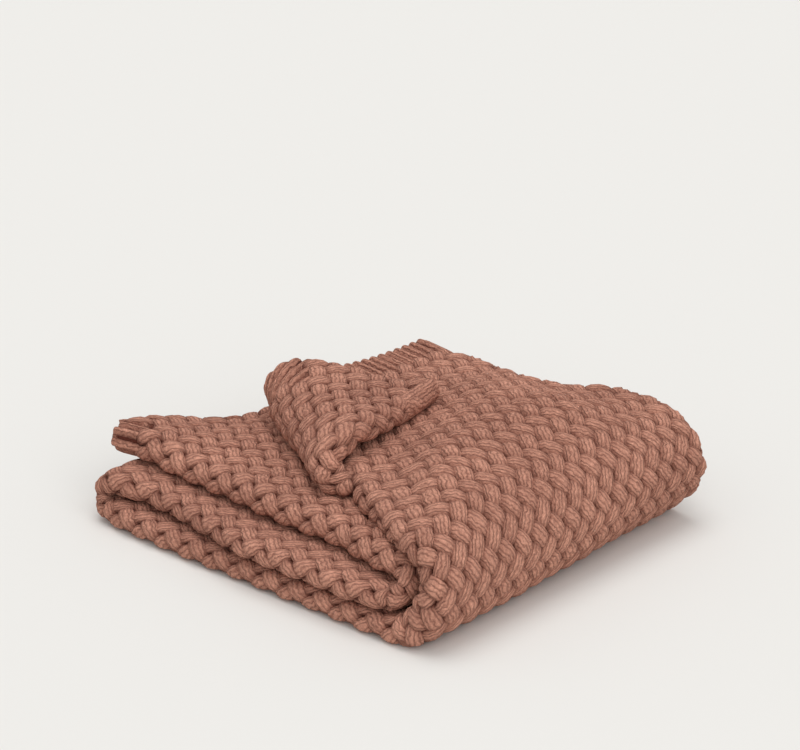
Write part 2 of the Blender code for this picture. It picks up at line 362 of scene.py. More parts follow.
# %% Folding the top slab and its corner
def crease_at(along):
    """How far along the crease the cloth is, and how far behind the pack's front the crease is."""
    part = min(max((along - CREASE_FROM) / (TOP_REACH - CREASE_FROM), 0.0), 1.0)
    return part, part * CREASE_DEPTH


def front_edge(along):
    """Where the front edge of the top slab lies in the pile, on the way to the crease."""
    shift, front = curve(FRONT_EDGE, along)
    return OUTER_AXIS + along + shift, front


def lie_flat(along, depth, under=False):
    """Where a point of the top slab comes, on the side of the crease that isn't turned over."""
    part, crease_depth = crease_at(along)
    right, front = curve(CREASE, part)[:2] if part else front_edge(along)
    pull = curve(BACK_EDGE, along)[1]
    run = max(depth - crease_depth - PACK_HALF, 0) / (PILE_DEPTH - crease_depth - PACK_HALF)
    fade = (1 - min(run, 1)) ** (TOP_EASE + (END_EASE - TOP_EASE) * part)
    x = OUTER_AXIS + along
    if under:
        x += give(STRAY, along, depth) * ramp(depth, *STRAY_ENDS)
    return x + (right - x) * fade, depth + (front - crease_depth) * fade + pull * (1 - fade)


def turn_corner(along, depth, up):
    """Where a point of the top slab comes, with its front corner turned over."""
    part, crease_depth = crease_at(along)
    over = crease_depth - depth
    if over <= 0:
        return *lie_flat(along, depth, up < 0), up
    right, front, roll, lean = curve(CREASE, part)
    if part == 0:
        right, front = front_edge(along)
    turned = min(over * FLAP_OVER / roll, math.pi)
    beyond = max(over * FLAP_OVER - math.pi * roll, 0)
    if up > 0:
        # The layers inside the roll lie loosely and fill it.
        up += up / PACK_HALF * max(roll - CORE - PACK_HALF, 0) * math.sin(turned)
    lateral = (roll - up) * math.sin(turned) - lean * ramp(turned, LEANS_FROM, math.pi) - beyond
    sag = 2 * (roll - LYING) * ramp(beyond, 0, SAGS_OVER)
    run = over * FLAP_ALONG
    cos, sin = math.cos(CREASE_HEADING), math.sin(CREASE_HEADING)
    x, y = right + run * cos + lateral * sin, front + run * sin - lateral * cos
    return x, y, roll - (roll - up) * math.cos(turned) - sag


print("the turned corner's tip comes to", [round(c) for c in turn_corner(TOP_REACH, 0, 0)])


# %% Settling, and the whole pile
def dome(x, y):
    """How much the top slab is plumped up at a place, as a share of its height."""
    behind_edge = y - FRONT_SLANT * max(x - FRONT_SLANT_FROM, 0)
    left = x - LEFT_SLANT * max(y - LEFT_SLANT_FROM, 0)
    return give(DOME, x, behind_edge) * ramp(y, *DOME_BACK) * ramp(left, *DOME_LEFT)


def settle(x, y, z, front, covered, plump):
    """The pile's own unevenness: slabs that lie back, sink, rise and lift, and the dome on top."""
    y += front * (1 - (1 - BACK_SHARE) * y / PILE_DEPTH)
    z *= 1 + (give(SWELL, x, y) - give(SINK, x, y)) * covered + give(RISE, x, y) * ramp(x, *RISE_ENDS)
    z *= 1 + dome(x, y) * plump
    return x, y, z + give(LIFT, x, y) * ramp(z, *LIFT_ENDS)


def pile(along, depth, off):
    """The place, in metres, of a point of the folded pack, off its middle."""
    leg, part = leg_at(ALONG, along)
    if leg.to_slab == TOP and part > 0 and not leg.radius:
        x, y, up = turn_corner(leg.length * part, depth, -off)
        z = PACK_HALF + TOP * SLAB_PITCH + up
    else:
        if leg.to_slab == TOP and off > 0:
            off *= 1 + OUTER_SWELL * math.sin(math.pi * part)
        x, z = fold_lengthwise(along, off)
        y = depth
        x += curve(FREE_REACH, depth)[0] * ramp(along, REACH_FADES, 0)
    fronts = curve(FRONTS, x)
    front = fronts[leg.from_slab] + (fronts[leg.to_slab] - fronts[leg.from_slab]) * ramp(part, 0, 1)
    covered = leg.to_slab < TOP
    plump = 0.0 if covered else 1.0 if not leg.radius else ramp(part, *DOME_BEGINS)
    x, y, z = settle(x, y, z, front, covered, plump)
    # What lies on the table is pressed flat by the weight above it.
    return Vector(((MIDDLE[0] - x) * MM, (y - MIDDLE[1]) * MM, max(z, TABLE) * MM))


print("the free end's front corner comes to", [round(c, 3) for c in pile(0, 0, 0)])

# %% [markdown]
# ## Ends that curl under
# Along most of its two ends the outside layer of the pack is longer than the others, so it wraps
# round the end and tucks in underneath, as a soft thick cloth does. The inside layers keep back a
# little there to make room. Elsewhere the ends are flat.

# %% Tucking the outside layer round the end
WRAP = 9.5  # so far before the end the outside layer begins to turn down, on this radius
TUCKED = 43.5  # how much longer it is
RETREAT = 8.0  # how far the inside layers keep back
END_ZONE = 60.0  # how far from the end that is felt
FULLY_WRAPPED = 0.8  # from this share of tucking on, the layer lies wholly round the end
A_LITTLE = 2.0  # a short way before the end, which shows where the pack heads
FREE_TUCK = (16, 44)  # At the free end the tucking begins over this span behind the front.
FLAP_TUCK = (44, 76)  # At the other end it begins over this span beyond the crease,
FLAP_UNTUCK = (150, 112)  # and ends before the corner's tip.


def tucked_at(along, depth):
    """How far the outside layer is tucked round the nearest end, 0 to 1, and how far off that is."""
    if along < ALONG[0].length:
        return ramp(depth, *FREE_TUCK), along
    if along > TOP_START:
        over = crease_at(along - TOP_START)[1] - depth
        return ramp(over, *FLAP_TUCK) * ramp(over, *FLAP_UNTUCK), LENGTH - along
    return 0.0, LENGTH


def tucked_part(along, across):
    """How far the cloth itself is tucked round an end: only the outside layer is."""
    return tucked_at(along, fold_in_four(across, 0)[0])[0] if across < FRONT_RUN else 0.0


def fold(along, across, proud, wrapped=True):
    """The folded place, in metres, of a point that stands proud of the flat panel's middle."""
    depth, off = fold_in_four(across, proud)
    tucked, from_end = tucked_at(along, depth)
    if not tucked or from_end > END_ZONE:
        return pile(along, depth, off)
    outward = 1 if along > TOP_START else -1
    if not wrapped or across >= FRONT_RUN:
        kept_back = RETREAT * tucked * (1 - ramp(from_end, 0, END_ZONE))
        return pile(along - outward * kept_back, depth, off)
    if from_end >= WRAP:
        return pile(along, depth, off)
    # Round the end of the pack, and on underneath it
    end = LENGTH if outward > 0 else 0.0
    middle = pile(end - outward * WRAP, depth, 0)
    ahead = (pile(end - outward * A_LITTLE, depth, 0) - middle).normalized()
    up = (pile(end - outward * WRAP, depth, QUARTER) - middle).normalized()
    turned = min((WRAP - from_end) / WRAP, math.pi)
    under = max(WRAP - from_end - math.pi * WRAP, 0)
    round_end = (up * math.cos(turned) + ahead * math.sin(turned)) * off * MM
    wrapped_place = middle + round_end - ahead * under * MM
    return pile(along, depth, off).lerp(wrapped_place, ramp(tucked, 0, FULLY_WRAPPED))


print("the middle of the panel comes to", [round(c, 3) for c in fold(LENGTH / 2, WIDTH / 2, 0)])

# %% [markdown]
# ## From a flat sheet to a piece
# The ground cloth and the borders start as a flat grid, to which the solidify operator gives a
# thickness. Each of its corners then goes through the folds. The grid is finer where the cloth bends.

# %% Making a piece from a flat mesh
CELL = 8.5
BEND_CELLS = {30: 20, 10: 11, 7: 9, 2: 5}  # the cells of a bend, by its radius in whole millimetres


def stations(legs):
    """The distances along a path at which its cells begin and end."""
    found = [0.0]
    for leg in legs:
        cells = BEND_CELLS[int(leg.radius)] if leg.radius else round(leg.length / CELL)
        start = found[-1]
        found += [start + leg.length * (i + 1) / cells for i in range(cells)]
    return found


def laid_out(along, across):
    """A closed flat sheet on these stations, X along the panel and Y across it, with Z -1 or 1."""
    mesh = bmesh.new()
    bmesh.ops.create_grid(mesh, x_segments=len(along) - 1, y_segments=len(across) - 1, size=0.5)
    for vertex in mesh.verts:
        column = round((vertex.co.x + 0.5) * (len(along) - 1))
        row = round((vertex.co.y + 0.5) * (len(across) - 1))
        vertex.co = (along[column], across[row], 0.0)
    bmesh.ops.solidify(mesh, geom=mesh.faces[:], thickness=1.0)
    bmesh.ops.recalc_face_normals(mesh, faces=mesh.faces[:])
    middle = min(vertex.co.z for vertex in mesh.verts) + 0.5
    for vertex in mesh.verts:
        vertex.co.z = 1.0 if vertex.co.z > middle else -1.0
    return mesh


def finished(mesh, name, material):
    """The folded mesh as a smooth piece of the throw."""
    # The folds mirror a mesh, so its faces are turned to look outwards again.
    bmesh.ops.reverse_faces(mesh, faces=mesh.faces[:])
    data = bpy.data.meshes.new(name)
    mesh.to_mesh(data)
    mesh.free()
    data.materials.append(material)
    data.polygons.foreach_set("use_smooth", [True] * len(data.polygons))
    piece = put_in_scene(name, data)
    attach(piece, "root")
    print(name, len(data.polygons), "faces")
    return piece


print("the ground cloth has", len(stations(ALONG)), "x", len(stations(ACROSS)), "stations")

# %% [markdown]
# ## The wool
# Yarn is matt and a little hairy: at a slant its loose fibres catch the light, which Sheen gives. Its
# colour is heathered, never flat, and stitch columns are chains of small Vs. Two node groups hold
# what all pieces share. One draws the Vs from the piece's own map, which counts stitch columns and
# stitches; the other gives the colour its heather and painted shade, and the surface its fibres.


# %% Making nodes
def new_group(name, inputs, outputs):
    """A node group with those sockets, and its input and output nodes."""
    group = bpy.data.node_groups.new(name, "ShaderNodeTree")
    for label, kind, value in inputs:
        socket = group.interface.new_socket(label, in_out="INPUT", socket_type="NodeSocket" + kind)
        if value is not None:
            socket.default_value = value
    for label, kind in outputs:
        group.interface.new_socket(label, in_out="OUTPUT", socket_type="NodeSocket" + kind)
    print("the node group", name, "gives", [label for label, _ in outputs])
    return group, group.nodes.new("NodeGroupInput"), group.nodes.new("NodeGroupOutput")


def node(tree, kind, settings=None, **inputs):
    """A shader node of that kind, with its settings, and with its inputs linked or set. An input goes
    by its label, or by an i and its number."""
    made = tree.nodes.new("ShaderNode" + kind)
    for key, value in (settings or {}).items():
        setattr(made, key, value)
    for key, value in inputs.items():
        numbered = key[0] == "i" and key[1:].isdigit()
        socket = made.inputs[int(key[1:]) if numbered else key.replace("_", " ")]
        if isinstance(value, bpy.types.NodeSocket):
            tree.links.new(value, socket)
        else:
            socket.default_value = value
    return made


def maths(operation, *values):
    """What a Math node makes of these values, in the tree of the first one."""
    inputs = {f"i{i}": value for i, value in enumerate(values)}
    return node(values[0].id_data, "Math", {"operation": operation}, **inputs).outputs[0]


# %% Stitch columns
# A column is two legs of yarn that lean together into Vs. A little noise moves the map, so that no
# two Vs are alike.
V_SLOPE = 2.6  # how steeply the legs climb, in stitches for each column's width
UNEVENNESS = (0.68, 1.2, 0)
YARN_DEPTH = 0.25  # how far the surface dips between two stitches of a leg
LEG_FULLNESS = 0.8  # below 1, a leg is fuller than a sine
columns, given, result = new_group(
    "stitch_columns",
    [("Map", "Vector", None), ("Slant", "Float", V_SLOPE)],
    [("Height", "Float")],
)
place = node(columns, "TexCoord").outputs["Object"]
wander = node(columns, "TexNoise", Vector=place, Scale=230.0, Detail=1.0).outputs["Color"]
add_on = {"operation": "MULTIPLY_ADD"}
uneven = node(columns, "VectorMath", add_on, i0=wander, i1=UNEVENNESS, i2=given.outputs["Map"])
split = node(columns, "SeparateXYZ", Vector=uneven.outputs[0])
side = maths("SUBTRACT", maths("FRACT", split.outputs["X"]), 0.5)
away = maths("ABSOLUTE", side)
slanted = maths("MULTIPLY_ADD", away, given.outputs["Slant"], split.outputs["Y"])
along_leg = maths("SINE", maths("MULTIPLY", maths("FRACT", slanted), math.pi))
yarn_round = maths("MULTIPLY_ADD", along_leg, YARN_DEPTH, 1 - YARN_DEPTH)
leg_side = maths("SINE", maths("MULTIPLY", away, 2 * math.pi))
leg_round = maths("POWER", leg_side, LEG_FULLNESS)
columns.links.new(maths("MULTIPLY", leg_round, yarn_round), result.inputs["Height"])

# %% Heathered yarn
# Three sizes of noise make the tone between the dark and the light colour. Shade is painted into it:
# it is darker between the stitches, and darker still where the piece's shade attribute says so.
FIBRE_SHARE, FLECK_SHARE, BLOTCH_SHARE = 0.5, 0.3, 0.2
CONTRAST, TONE = 2.1, 0.79
STITCH_PAINTED_SHADE, SHADED_BETWEEN_STITCHES = 0.5, 0.52
STITCH_HEIGHT, FIBRE_HEIGHT = 0.6, 0.8
heather, given, result = new_group(
    "heathered_yarn",
    [
        ("Light", "Color", (0.5, 0.5, 0.5, 1)),
        ("Dark", "Color", (0.1, 0.1, 0.1, 1)),
        ("Stitch", "Float", 1.0),
        ("Shade", "Float", 1.0),
    ],
    [("Color", "Color"), ("Height", "Float")],
)


def noise(**settings):
    """What a Noise Texture on the piece's own coordinates gives, in the heather's group."""
    return node(heather, "TexNoise", Vector=place, **settings).outputs["Fac"]


place = node(heather, "TexCoord").outputs["Object"]
fibres = noise(Scale=480.0, Detail=4.0, Roughness=0.7, Distortion=0.9)
flecks = noise(Scale=210.0, Detail=2.0)
blotches = noise(Scale=14.0, Detail=1.0)
tone = maths("MULTIPLY", fibres, FIBRE_SHARE)
tone = maths("ADD", tone, maths("MULTIPLY", flecks, FLECK_SHARE))
tone = maths("ADD", tone, maths("MULTIPLY", blotches, BLOTCH_SHARE))
tone = maths("MULTIPLY_ADD", maths("SUBTRACT", tone, 0.5), CONTRAST, TONE)
# Painted shade between the stitches: the tone falls where the stitch relief is low.
stitch_painted_shade = maths("MULTIPLY_ADD", given.outputs["Stitch"], STITCH_PAINTED_SHADE, SHADED_BETWEEN_STITCHES)
tone = maths("MULTIPLY", maths("MULTIPLY", tone, stitch_painted_shade), given.outputs["Shade"])
colours = {"data_type": "RGBA", "clamp_factor": True}
mixed = node(heather, "Mix", colours, i0=tone, i6=given.outputs["Dark"], i7=given.outputs["Light"])
heather.links.new(mixed.outputs[2], result.inputs["Color"])
stitch_height = maths("MULTIPLY", given.outputs["Stitch"], STITCH_HEIGHT)
fibre_height = maths("MULTIPLY", fibres, FIBRE_HEIGHT)
heather.links.new(maths("ADD", stitch_height, fibre_height), result.inputs["Height"])

# %% Materials
WOOL_COLOURS = {"Light": (0.835, 0.408, 0.289, 1), "Dark": (0.085, 0.006, 0.001, 1)}
RELIEF = 0.0024  # height of the stitches' relief, in metres
WOOL_FINISH = {
    "Roughness": 0.95,
    "Specular IOR Level": 0.15,
    "Sheen Weight": 0.1,
    "Sheen Roughness": 0.45,
    "Sheen Tint": (1.0, 0.66, 0.54, 1),
}


def wool(name):
    """The throw's wool, with its stitches from the piece's map, and painted shade and tint from its
    shade attribute.
    """
    made, tree, surface = new_material(name, WOOL_FINISH)
    counted = node(tree, "UVMap", {"uv_map": "stitches"}).outputs["UV"]
    # The shade attribute holds painted shade, and on the strands a random tint as well.
    painted_shade_and_tint = node(tree, "Attribute", {"attribute_name": "shade"}).outputs["Fac"]
    stitches = node(tree, "Group", {"node_tree": columns}, Map=counted).outputs["Height"]
    yarn = node(tree, "Group", {"node_tree": heather}, Stitch=stitches, Shade=painted_shade_and_tint, **WOOL_COLOURS)
    height = yarn.outputs["Height"]
    relief = node(tree, "Bump", Strength=1.0, Distance=RELIEF, Height=height)
    tree.links.new(yarn.outputs["Color"], surface.inputs["Base Color"])
    tree.links.new(relief.outputs["Normal"], surface.inputs["Normal"])
    return made


strand_wool = wool("strand_wool")
ground_wool = wool("ground_wool")
rib_wool = wool("rib_wool")

# %% [markdown]
# ## The ground cloth
# Behind the strands a knit has a thin, close web. It is one sheet as large as the panel, so it also
# shows how the throw is folded: four layers in each pack, and four packs in the pile. Its colour is
# painted dark as shade, because light hardly gets down between the strands.

# %% Ground cloth
WALE = 4.6  # width of a stitch column
STITCH = 3.8  # length of a stitch
BORDER = 38.0  # length of the ribbed border
FREE_BORDER = 28.0  # and of the one at the free end, which is pushed up closer
BORDER_EASE = 4.0
GROUND_MIDDLE = -0.6  # it lies a little inside the middle of the cloth
GROUND_HALF = 0.7  # half its thickness
GROUND_IN_RIBS = 0.4  # and its share inside the borders
# Shade painted into the ground's colour: dark between the strands, lighter at the selvedges where it
# shows.
DEEP_SHADE = 0.08  # how light it is between the strands
SIDE_SHADE = 0.7  # and at the selvedges, where it shows
SIDE_SPAN = (14, 4)


def map_stitches(mesh):
    """Counts the stitch columns and stitches at every corner of the flat mesh, before it is folded."""
    stitches = mesh.loops.layers.uv.new("stitches")
    for face in mesh.faces:
        for loop in face.loops:
            loop[stitches].uv = (loop.vert.co.y / WALE, loop.vert.co.x / STITCH)


ground = laid_out(stations(ALONG), stations(ACROSS))
map_stitches(ground)
shade = ground.verts.layers.float.new("shade")
for vertex in ground.verts:
    along, across, face_side = vertex.co
    from_end = min(along, LENGTH - along)
    from_side = min(across, WIDTH - across)
    # Painted shade: dark deep between the strands, lighter near the selvedges.
    vertex[shade] = DEEP_SHADE + (SIDE_SHADE - DEEP_SHADE) * ramp(from_side, *SIDE_SPAN)
    plaited = ramp(from_end, BORDER - BORDER_EASE, BORDER + BORDER_EASE)
    half = GROUND_HALF * (GROUND_IN_RIBS + (1 - GROUND_IN_RIBS) * plaited)
    vertex.co = fold(along, across, GROUND_MIDDLE + half * face_side, wrapped=False)
ground_cloth = finished(ground, "ground_cloth", ground_wool)

# %% [markdown]
# ## An even pattern for the strands
# The strands run over the panel in both slants, each over one and under the next. They are placed on
# an even pattern, not on the cloth itself, because cloth stretches round a bend and bunches at a
# crease, while its strands look equally plump all over. Each part of the throw has its own way from
# the pattern to the cloth.

# %% The even pattern
STEP_ALONG = 26.5
STEP_ACROSS = 19.6
FRONT_BEND = start_of(ACROSS, "outer front bend")
BEND = ACROSS[1].length
GOING_BACK = FRONT_BEND + BEND
BACK_BEND = start_of(ACROSS, "back bend")
# Where the cloth bends, the strands lie outside it, so the pattern is longer by these factors.
FRONT_STRETCH = 9.7 / 7.5
STRETCHES = {"outer front bend": FRONT_STRETCH, "back bend": 2.2}
STRETCHES |= {"left fold": 1.3, "outer fold": 1.136, "inner fold": 1.3}


def unstretched(legs, pattern):
    """The distance along the cloth of a distance along the pattern."""
    at = 0.0
    for leg in legs:
        stretch = STRETCHES.get(leg.name, 1.0)
        if pattern <= leg.length * stretch or leg is legs[-1]:
            return at + pattern / stretch
        pattern -= leg.length * stretch
        at += leg.length


def pattern_length(legs):
    """How long the pattern is on these legs."""
    return sum(leg.length * STRETCHES.get(leg.name, 1.0) for leg in legs)


PATTERN_TOP = pattern_length(ALONG[:-1])
PATTERN_BACK = FRONT_BEND + BEND * FRONT_STRETCH
print(f"the pattern reaches the top slab at {PATTERN_TOP:.0f} mm, the cloth at {TOP_START:.0f} mm")

# %% From the pattern to the slabs and folds
REACH_ROUNDS = 6
TOP_ROUNDS = 10
TOP_STEP = 0.85  # the share of what is missing that each round makes up
TOP_SHIFT, SHIFT_SPAN = 8, 80  # the top slab's strands lie this much further along, from here on


def on_straight(a, b):
    """Everywhere but on the top slab"""
    if a > PATTERN_TOP:
        return on_top(a, b)
    across = unstretched(ACROSS, b)
    if a > REACH_FADES:
        return unstretched(ALONG, a), across
    # On the third slab the pattern is even as it lies, and the end reaches further in some places.
    beyond = curve(FREE_REACH, fold_in_four(across, 0)[0])[0]
    along = a
    for _ in range(REACH_ROUNDS):
        along = a + beyond * (1 - ramp(along, 0, REACH_FADES))
    return along, across


def laid_back(x, y):
    """How far behind its place in the pack a point of the top slab comes to lie."""
    return curve(FRONTS, x)[TOP] * (1 - (1 - BACK_SHARE) * y / PILE_DEPTH)


def on_top(a, b):
    """On the flat of the top slab the pattern is even as it lies, so the place is found by trial."""
    if a < PATTERN_TOP:
        return on_straight(a, b)
    x = OUTER_AXIS + a - PATTERN_TOP + TOP_SHIFT * ramp(a - PATTERN_TOP, 0, SHIFT_SPAN)
    y = PACK_HALF + b - PATTERN_BACK
    along, depth = max(a - PATTERN_TOP, 0.0), max(y, 0.0)
    for _ in range(TOP_ROUNDS):
        found_x, found_y = lie_flat(along, depth)
        missing = y + laid_back(OUTER_AXIS, y) - found_y - laid_back(found_x, found_y)
        along += (x - found_x) * TOP_STEP
        depth += missing * TOP_STEP
        along = min(max(along, 0.0), TOP_REACH)
    if depth < PACK_HALF and along < CREASE_FROM:
        across = unstretched(ACROSS, PATTERN_BACK - (PACK_HALF - depth))
        return TOP_START + along, across
    return TOP_START + along, GOING_BACK + depth - PACK_HALF


def underneath(a, b):
    """On the underside of the top slab, near its back"""
    if a < PATTERN_TOP:
        return on_straight(a, b)
    return TOP_START + a - PATTERN_TOP, unstretched(ACROSS, b)


SAMPLE = 60.0
print("on the top slab:", [round(c, 1) for c in on_top(PATTERN_TOP + SAMPLE, PATTERN_BACK + SAMPLE)])

# %% From the pattern to the turned corner
FLAP_TURN = math.radians(52)  # from the pattern on the slab to that on the roll
OUTSIDE_ROLL = PACK_HALF + 4.0  # how far the strands lie outside the roll of the pack's middle
CREASE_LENGTH = 216.0
CREASE_PARTS = (-0.3, 1.15)  # the pattern runs on a little beyond both ends of the crease
FLAP_ROUNDS = 5


def on_flap(a, b):
    """On the turned corner the pattern is even on the outside of the roll, so it is laid from there."""
    beside = a * math.cos(FLAP_TURN) - b * math.sin(FLAP_TURN)
    around = a * math.sin(FLAP_TURN) + b * math.cos(FLAP_TURN)
    over = 0.0
    for _ in range(FLAP_ROUNDS):
        part = (beside - over * FLAP_ALONG) / CREASE_LENGTH
        part = min(max(part, CREASE_PARTS[0]), CREASE_PARTS[1])
        roll = curve(CREASE, part)[2]
        outside = roll + OUTSIDE_ROLL
        flat = max(around - math.pi * outside, 0)
        over = ((around - flat) * roll / outside + flat) / FLAP_OVER
    along = CREASE_FROM + part * (TOP_REACH - CREASE_FROM)
    depth = crease_at(along)[1] - over
    if depth > PACK_HALF:
        return TOP_START + along, PILE_DEPTH - depth
    return TOP_START + along, unstretched(ACROSS, FRONT_BEND + PACK_HALF - depth)


print("on the turned corner:", [round(c, 1) for c in on_flap(SAMPLE, SAMPLE)])

# %% [markdown]
# ## Where the strands show
# Deep inside the pile nobody sees the knit, so only the strands that show are laid. The rules say
# which piece a strand belongs to, and which way leads from the pattern to the cloth there. Their
# distances were judged from every side.

# %% Showing on the lower slabs and the folds
SEEN_FROM_BEHIND = 48.0  # how far in from a selvedge the back of the pile shows
BEFORE_BACK, PAST_BACK = 22, 20  # and how far to either side of a back bend
FRONTS_SHOW = 62  # how deep the slabs' fronts are seen into
LEFT_SHOWS = 270  # from here on the faces between the lower slabs show at the left
OUTER_FOLD_FROM = FRONT_BEND - 20
LEFT_FOLD_FROM = FRONT_BEND - 40
FREE_RIBS = FREE_BORDER + 5  # the plait begins here, behind the free end's ribs,
OVER_THE_END = 8  # and this far beyond the end where that is tucked in
# The third slab is hidden under the top slab: behind a depth, up to so far left, and in front of it
# up to a slanting line.
HIDDEN_DEPTH = CREASE_DEPTH + 25
HIDDEN_LEFT = 262
HIDDEN_FROM, HIDDEN_FRONT, HIDDEN_SLOPE = 60, 20, 1.32


def region(a, b):
    """The piece and the way of the pillow at this place of the pattern; or None where none shows."""
    along, across = on_straight(a, b)
    leg = leg_at(ALONG, along)[0]
    depth = fold_in_four(across, 0)[0]
    tucked = tucked_part(along, across)
    if along < FREE_RIBS * (1 - tucked) ** 2 - OVER_THE_END * ramp(tucked, 0, 0.5):
        return None
    if across < 0 or across > BACK_BEND + PAST_BACK:
        return None
    if across > BACK_BEND - BEFORE_BACK or across < SEEN_FROM_BEHIND:
        return "back_strands", on_straight
    if leg.name == "outer fold" and across > OUTER_FOLD_FROM:
        return "outer_fold_strands", on_straight
    if leg.name == "left fold" and across > LEFT_FOLD_FROM or depth < FRONTS_SHOW:
        return "lower_strands", on_straight
    x = MIDDLE[0] - fold(along, across, 0)[0] / MM
    if leg.name == "third slab" and across <= FRONT_BEND:
        behind = depth > HIDDEN_DEPTH and x < HIDDEN_LEFT
        before = depth < HIDDEN_DEPTH and x < HIDDEN_FROM + (depth - HIDDEN_FRONT) * HIDDEN_SLOPE
        return None if behind or before else ("third_slab_strands", on_straight)
    at_left = x > LEFT_SHOWS and leg.name in ("second slab", "third slab")
    if across > GOING_BACK and (at_left or leg.name == "bottom slab"):
        return "lower_strands", on_straight
    return None


print("round the front of the outer fold:", region(PATTERN_TOP - SAMPLE, PATTERN_BACK)[0])

# %% Showing on the top slab and its turned corner
TOP_FROM = FRONT_BEND - 28
TOP_TO = TOP_REACH - BORDER - 1  # the plait laps over the ribs a little
OVER_CREASE = 2  # the slab's plait ends this far over the crease,
BEFORE_CREASE = -4  # and the roll's begins this far before it
FLAP_FROM = CREASE_FROM + 2
FLAP_TO = GOING_BACK + 22  # here the turned corner meets the slab
ROUND_FRONT = FRONT_BEND - 4
RIBS_TO = 90  # beyond the crease, where the ribs on the roll have curled under
TIP_REACH = TOP_REACH + 8  # the plait goes this far where the end is curled under,
SHOWN_RIBS = BORDER + 2  # this much less where the ribs show,
INNER_REACH = TOP_REACH - BORDER + 12  # and this far beyond the front bend


def top_region(a, b):
    """The same for a pillow on the flat of the top slab"""
    found, across = on_top(a, b)
    along = found - TOP_START
    if along > TOP_TO or across > BACK_BEND + PAST_BACK:
        return None
    if across > BACK_BEND - BEFORE_BACK:
        return "back_strands", on_top
    if across < TOP_FROM:
        return None
    part, crease_depth = crease_at(along)
    if part > 0 and fold_in_four(across, 0)[0] < crease_depth - OVER_CREASE:
        return None
    return "top_strands", on_top


def flap_region(a, b):
    """The same for a pillow on the turned corner"""
    found, across = on_flap(a, b)
    along = found - TOP_START
    if along < FLAP_FROM or across > FLAP_TO:
        return None
    over = crease_at(along)[1] - fold_in_four(across, 0)[0]
    if over < BEFORE_CREASE and across < FRONT_BEND:
        return None
    # The ribs show on the roll. Further on the end is curled under, and the plait covers the tip.
    ribs = (1 - tucked_part(found, across)) ** 2 if over < RIBS_TO else 0.0
    if along > (TIP_REACH - SHOWN_RIBS * ribs if across < ROUND_FRONT else INNER_REACH):
        return None
    return "turned_corner_strands", on_flap


print("in the middle of the top slab:", top_region(PATTERN_TOP + SAMPLE, PATTERN_BACK + 2 * SAMPLE)[0])

# %% [markdown]
# ## The plaited strands
# What shows of a strand between two dips is a small pillow of three stitch columns. So one pillow is
# modelled, and a copy is laid at every crossing: rows that lean one way alternate with rows that lean
# the other, half a step along. It is a grid pulled up into three ridges, one for each stitch column.
# Its rim is drawn down into the ground cloth, and its colour is given painted shade towards the rim, as
# it is dark deep between real strands.
# One more face closes it underneath.

# %% One pillow
PILLOW_LENGTH = 29.5
PILLOW_WIDTH = 17.8
NARROWING = 0.25  # how much narrower its ends are
CROWN = 6.1  # how proud its middle stands
TUCK = -2.4  # and its rim
STRAND_COLUMNS = 3
FURROW = 0.6  # depth between its ridges
# Powers: how flat its top is, and how steeply it falls, at its ends and at its sides
ENDS, ENDS_FALL = 2.6, 0.8
SIDES, SIDES_FALL = 4, 0.55
LIT, DARKENS = 1.16, 3.2  # its middle is fully lit, and towards its rim it darkens fast
LENGTHWISE, CROSSWISE = 8, 6  # cells of the grid
LENGTHWISE_EASE, CROSSWISE_EASE = 0.8, 0.75  # below 1, so the cells are finer towards the rim

pillow = bmesh.new()
bmesh.ops.create_grid(pillow, x_segments=LENGTHWISE, y_segments=CROSSWISE, size=1.0)
pillow_map = pillow.loops.layers.uv.new("stitches")
pillow.verts.layers.float.new("shade")
for face in pillow.faces:
    for loop in face.loops:
        x, y = loop.vert.co.xy
        loop[pillow_map].uv = (y * STRAND_COLUMNS / 2, x * PILLOW_LENGTH / 2 / STITCH)


def pillow_point(x, y):
    """Where a corner of the grid comes: along, across and proud of the cloth; and its painted shade."""
    s = math.copysign(abs(x) ** LENGTHWISE_EASE, x)
    t = math.copysign(abs(y) ** CROSSWISE_EASE, y)
    width = PILLOW_WIDTH / 2 * (1 - NARROWING * s * s)
    arch = (1 - abs(s) ** ENDS) ** ENDS_FALL
    round_off = (1 - abs(t) ** SIDES) ** SIDES_FALL
    body = arch * round_off
    ridge = 0.5 + 0.5 * math.cos(STRAND_COLUMNS * math.pi * t)
    height = TUCK + (CROWN - TUCK) * body - FURROW * (1 - ridge) * body
    # The last value is painted shade: full light in the middle, dark towards the rim.
    return s * PILLOW_LENGTH / 2, width * t, height, min(body * LIT, 1.0) ** DARKENS


pillow_shape = [pillow_point(vertex.co.x, vertex.co.y) for vertex in pillow.verts]
# The face underneath, with a sharp edge round it
rim = [edge for edge in pillow.edges if edge.is_boundary]
base = bmesh.ops.edgeloop_fill(pillow, edges=rim)["faces"][0]
base.normal_update()
if base.normal.z > 0:
    base.normal_flip()
for edge in rim:
    edge.smooth = False
print("a pillow has", len(pillow.faces), "faces")
pillow_mesh = bpy.data.meshes.new("pillow")
pillow.to_mesh(pillow_mesh)
pillow.free()

# %% Choosing the places of the pillows
ROWS = int(pattern_length(ACROSS) / STEP_ACROSS * 2)
COLUMNS = int(pattern_length(ALONG) / STEP_ALONG) + 3
ROW_PHASE = 3.0  # where the first row and the first column begin
COLUMN_PHASE = 6.0
TOP_ROWS_FROM = FRONT_BEND - 90
FLAP_ROWS = range(-24, 20)
FLAP_COLUMNS = range(-2, 14)
pieces = {}


def choose(found, a, b, row):
    """Notes a pillow for its piece, if it shows. Its row says which way it leans."""
    if found:
        piece, on_cloth = found
        pieces.setdefault(piece, []).append((a, b, 1 if row % 2 else -1, on_cloth))


